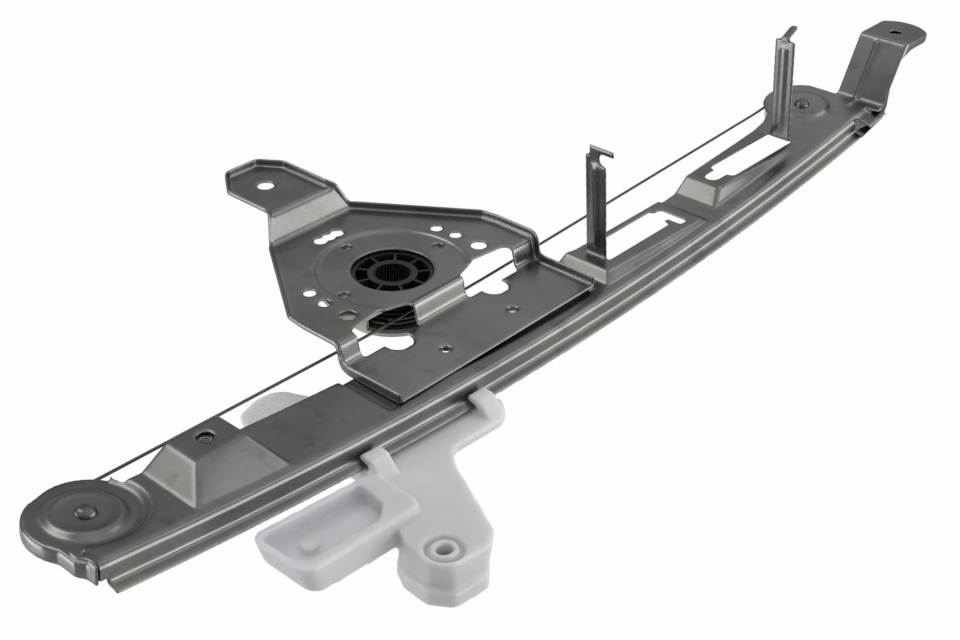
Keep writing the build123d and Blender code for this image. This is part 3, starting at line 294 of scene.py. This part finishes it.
def relax(mesh, passes, keep_rims):
    """Smooth away the voxel steps, then round the bends, but not the cut rims of thin sheet.

    keep_rims says over how many edges the normals are averaged to find those rims; 0 keeps none.
    """
    places = read_vectors(mesh.vertices, "co")
    size = len(places)
    edges = np.empty(len(mesh.edges) * 2, dtype=np.int64)
    mesh.edges.foreach_get("vertices", edges)
    starts, ends = edges[0::2], edges[1::2]
    counts = np.maximum(np.bincount(starts, minlength=size) + np.bincount(ends, minlength=size), 1)
    free = np.ones(size)
    if keep_rims:
        spread = read_vectors(mesh.vertices, "normal")
        for _ in range(keep_rims):
            spread = 0.5 * spread + 0.5 * neighbour_mean(spread, starts, ends, counts)
        free = np.clip((np.linalg.norm(spread, axis=1) - rim_start) / rim_width, 0.0, 1.0)
    for _ in range(step_pairs):
        for weight in (smooth_in, smooth_out):
            places = places + weight * (neighbour_mean(places, starts, ends, counts) - places)
    for _ in range(passes):
        places = places + smooth_in * free[:, None] * (neighbour_mean(places, starts, ends, counts) - places)
    mesh.vertices.foreach_set("co", places.ravel())
    mesh.update()


def rounded(node, voxel, passes, keep_rims, share):
    """A piece in the node's shape with rounded bends; share is the part of its faces that is kept."""
    piece = new_object(node + "_formed", frame["nodes"][node].data.copy())
    remesh = piece.modifiers.new("voxels", "REMESH")
    remesh.mode = "VOXEL"
    remesh.voxel_size = voxel
    relax(apply_modifiers(piece), passes, keep_rims)
    thin = piece.modifiers.new("thin_out", "DECIMATE")
    thin.ratio = share
    thinned = apply_modifiers(piece)
    shade_smooth(thinned)
    thinned.set_sharp_from_angle(angle=sharp_angle)
    level_faces = piece.modifiers.new("level_faces", "WEIGHTED_NORMAL")
    level_faces.keep_sharp = True
    formed = apply_modifiers(piece)
    formed.materials.clear()
    formed.materials.append(finishes[slot_of[node]])
    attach(piece, body_of_node[node])
    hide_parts(node)


rounded("rail", voxel=0.42 * MM, passes=36, keep_rims=8, share=0.16)
rounded("motor_plate", voxel=0.38 * MM, passes=34, keep_rims=8, share=0.17)
rounded("slider_body", voxel=0.55 * MM, passes=24, keep_rims=0, share=0.25)


# Folded corners of the rail, which close the seams where its front wall ends; lengths in millimetres
arc_centre_x = 58.7
arc_centre_z = 1930.3
arc_radius = 1944.0
fold_sheet = 1.2


def under_skin(x, y, depth):
    """A point so deep under the arched upper face of the rail, in metres."""
    angle = (x - arc_centre_x) / arc_radius
    radius = arc_radius + depth
    return Vector((arc_centre_x + radius * sin(angle), y, arc_centre_z - radius * cos(angle))) * MM


def fold(name, rows):
    """A strip of sheet with its middle in a grid of points (x, y, depth under the skin)."""
    points = [under_skin(*point) for row in rows for point in row]
    wide = len(rows[0])
    faces = [
        (i * wide + k, i * wide + k + 1, (i + 1) * wide + k + 1, (i + 1) * wide + k)
        for i in range(len(rows) - 1)
        for k in range(wide - 1)
    ]
    mesh = bpy.data.meshes.new(name)
    mesh.from_pydata(points, [], faces)
    piece = new_object(name, mesh)
    thick = piece.modifiers.new("sheet", "SOLIDIFY")
    thick.thickness = fold_sheet * MM
    thick.offset = 0.0
    formed = apply_modifiers(piece)
    shade_smooth(formed)
    formed.set_sharp_from_angle(angle=sharp_angle)
    formed.materials.append(finishes["rail_steel"])
    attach(piece, "frame")


# Round the lower end of the front wall: from the web over its bend and down the wall
wall_front_y = -85.3
web_bend = 3.2
sheet_middle = 0.65
corner_x = (-239.7, -236.0)
corner_back_y = -81.0
corner_foot = 7.6
bend_steps = 6
middle_bend = web_bend - sheet_middle
bend_angles = [i * pi / 2 / bend_steps for i in range(bend_steps + 1)]
bend_points = [
    (wall_front_y + web_bend - middle_bend * sin(angle), web_bend - middle_bend * cos(angle))
    for angle in bend_angles
]
corner_profile = [(corner_back_y, sheet_middle), *bend_points, (wall_front_y + sheet_middle, corner_foot)]
fold("lower_corner_fold", [[(x, y, depth) for y, depth in corner_profile] for x in corner_x])

# Under the web's edge, along the skirt of the lower pulley head, whose line is given in x and y
skirt_line = [(-242.5, -71.0), (-242.5, -75.4), (-239.5, -80.6), (-239.5, -84.0)]
skirt_depths = (0.5, 3.4)
fold("lower_skirt_fold", [[(x, y, depth) for x, y in skirt_line] for depth in skirt_depths])

# From the upper end of the wall and lip to the corner of the flare: web, foot of the wall, edge of the lip
wall_end_x = 323.0
flare_end_x = 342.0
upper_wall_rows = [
    [(wall_end_x, -84.7, 1.2), (flare_end_x, -93.8, 4.6)],
    [(wall_end_x, -84.7, 9.9), (flare_end_x, -93.9, 5.0)],
    [(wall_end_x, -90.9, 11.6), (flare_end_x, -94.1, 5.3)],
]
fold("upper_wall_end", upper_wall_rows)

# Under the flare, as far as the foot of the bracket, on a line given in y and depth
foot_x = (338.0, 345.0)
foot_line = [(-79.5, 0.9), (-93.9, 4.7)]
fold("bracket_foot_fold", [[(x, y, depth) for y, depth in foot_line] for x in foot_x])


# Threads in the nuts of the two mounts and of the glass clamp; lengths in millimetres
thread_pitch = 1.0
thread_depth = 0.4
thread_half_root = 0.288
thread_run_out = 0.2
wall_overlap = 0.03
turn_steps = 28


def thread(mount, body):
    """A helical ridge on the wall of a threaded mount."""
    radius = mount["dims"]["r_mm"]
    length = mount["dims"]["length_mm"] - thread_run_out
    along = Vector(mount["axis"]).normalized()
    across = along.orthogonal().normalized()
    third = along.cross(across)
    middle_point = Vector(mount["pos_m"])
    section = (
        (radius + wall_overlap, -thread_half_root),
        (radius - thread_depth, 0.0),
        (radius + wall_overlap, thread_half_root),
    )
    steps = int(turn_steps * length / thread_pitch)
    points, faces = [], []
    for i in range(steps + 1):
        angle = 2 * pi * i / turn_steps
        lift = -length / 2 + length * i / steps
        out = across * cos(angle) + third * sin(angle)
        for reach, rise in section:
            points.append(middle_point + (out * reach + along * (lift + rise)) * MM)
    for i in range(steps):
        for k in range(3):
            a, b = 3 * i + k, 3 * i + (k + 1) % 3
            faces.append((a, b, b + 3, a + 3))
    faces += [(2, 1, 0), (3 * steps, 3 * steps + 1, 3 * steps + 2)]
    mesh = bpy.data.meshes.new(mount["name"] + "_thread")
    mesh.from_pydata(points, [], faces)
    shade_smooth(mesh)
    mesh.materials.append(bright_thread)
    piece = new_object(mount["name"] + "_thread", mesh)
    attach(piece, body)


threaded_bodies = {"lower_mount": "frame", "upper_mount": "frame", "glass_screw": "slider"}
for mount in frame["record"]["mounts"]:
    if mount["name"] in threaded_bodies:
        thread(mount, threaded_bodies[mount["name"]])


# Camera: the view that was fitted to the photograph; the focal length and the centre are in its pixels
image_width = 960
image_height = 640
focal_pixels = 1424.54
centre_x = 483.7
centre_y = 317.43
yaw = radians(48.7522)
pitch = radians(32.0985)
roll = radians(0.7525)
camera_place = Vector((-443.494, -451.525, 367.245)) * MM

camera_data = bpy.data.cameras.new("camera")
camera_data.sensor_width = 36.0
camera_data.lens = focal_pixels / image_width * camera_data.sensor_width
camera_data.shift_x = (image_width / 2 - centre_x) / image_width
camera_data.shift_y = (centre_y - image_height / 2) / image_width
camera_data.clip_start = 0.01
camera = new_object("camera", camera_data)
camera.matrix_world = (
    Matrix.Translation(camera_place)
    @ Matrix.Rotation(-yaw, 4, "Z")
    @ Matrix.Rotation(pi / 2 - pitch, 4, "X")
    @ Matrix.Rotation(roll, 4, "Z")
)
bpy.context.scene.camera = camera


# Floor: white to the camera, a little lighter to the metal than it is, and far enough down for a faint shadow
floor_drop = 450 * MM
floor_reach = 6.0
floor_grey = 0.56
white_to_camera = 0.97
white_to_metal = 0.1


def floor_material():
    material, nodes, links, shader = new_material("floor_paper")
    shader.inputs["Base Color"].default_value = (floor_grey, floor_grey, floor_grey, 1.0)
    shader.inputs["Roughness"].default_value = 0.9
    glow = nodes.new("ShaderNodeEmission")
    glow.inputs["Strength"].default_value = 1.0
    path = nodes.new("ShaderNodeLightPath")
    glossy_share = nodes.new("ShaderNodeMath")
    glossy_share.operation = "MULTIPLY"
    glossy_share.inputs[1].default_value = white_to_metal
    links.new(path.outputs["Is Glossy Ray"], glossy_share.inputs[0])
    share = nodes.new("ShaderNodeMath")
    share.operation = "MULTIPLY_ADD"
    share.inputs[1].default_value = white_to_camera
    links.new(path.outputs["Is Camera Ray"], share.inputs[0])
    links.new(glossy_share.outputs["Value"], share.inputs[2])
    blend = nodes.new("ShaderNodeMixShader")
    links.new(share.outputs["Value"], blend.inputs["Fac"])
    links.new(shader.outputs["BSDF"], blend.inputs[1])
    links.new(glow.outputs["Emission"], blend.inputs[2])
    links.new(blend.outputs["Shader"], nodes["Material Output"].inputs["Surface"])
    return material


floor_z = cad_low[2] - floor_drop
floor_mesh = bpy.data.meshes.new("floor")
floor_corners = [(-1, -1), (1, -1), (1, 1), (-1, 1)]
floor_points = [(x * floor_reach, y * floor_reach, floor_z) for x, y in floor_corners]
floor_mesh.from_pydata(floor_points, [], [(0, 1, 2, 3)])
floor_mesh.materials.append(floor_material())
floor = new_object("floor", floor_mesh)


# Light: a room that is dim up to the horizon and lighter above, and soft boxes that face lit_point
room_heights = [(0.0, 0.40), (0.34, 0.42), (0.53, 0.60), (0.70, 0.86), (1.0, 0.95)]
room_sides = [(0.0, 0.9), (0.35, 0.8), (0.45, 0.5), (0.56, 1.0), (0.70, 0.85), (1.0, 1.0)]
sideways = (0.766, -0.643, 0.0)
lit_point = Vector((0.05, -0.03, 0.0))


def light_room():
    """World light by height and by side, and white to the camera."""
    world = bpy.data.worlds.new("room")
    bpy.context.scene.world = world
    world.use_nodes = True
    nodes, links = world.node_tree.nodes, world.node_tree.links
    coords = nodes.new("ShaderNodeTexCoord")
    split = nodes.new("ShaderNodeSeparateXYZ")
    links.new(coords.outputs["Generated"], split.inputs["Vector"])
    height_tone = ramp(nodes, links, split.outputs["Z"], room_heights)
    side = nodes.new("ShaderNodeVectorMath")
    side.operation = "DOT_PRODUCT"
    side.inputs[1].default_value = sideways
    links.new(coords.outputs["Generated"], side.inputs[0])
    side_share = nodes.new("ShaderNodeMath")    # from -1..1 to 0..1
    side_share.operation = "MULTIPLY_ADD"
    side_share.inputs[1].default_value = 0.5
    side_share.inputs[2].default_value = 0.5
    links.new(side.outputs["Value"], side_share.inputs[0])
    side_tone = ramp(nodes, links, side_share.outputs["Value"], room_sides)
    tone = multiply(nodes, links, height_tone, side_tone)
    path = nodes.new("ShaderNodeLightPath")
    seen = nodes.new("ShaderNodeMix")
    seen.data_type = "RGBA"
    seen.inputs["B"].default_value = (1.0, 1.0, 1.0, 1.0)
    links.new(path.outputs["Is Camera Ray"], seen.inputs["Factor"])
    links.new(tone, seen.inputs["A"])
    links.new(seen.outputs["Result"], nodes["Background"].inputs["Color"])


def soft_box(name, place, size, power):
    data = bpy.data.lights.new(name, "AREA")
    data.shape = "RECTANGLE"
    data.size, data.size_y = size
    data.energy = power
    light = new_object(name, data)
    light.location = place
    light.rotation_euler = (lit_point - Vector(place)).to_track_quat("-Z", "Y").to_euler()
    light.visible_camera = False


light_room()
soft_box("right_low", place=(0.62, -0.98, 0.06), size=(1.3, 0.74), power=8.4)
soft_box("right_high", place=(1.0, -0.48, 1.05), size=(0.7, 0.7), power=1.3)
soft_box("left_high", place=(-0.28, 0.70, 1.15), size=(0.7, 0.7), power=3.1)
soft_box("left_low", place=(-0.95, 0.62, -0.08), size=(0.8, 0.8), power=5.6)
bpy.context.scene.view_settings.view_transform = "Standard"
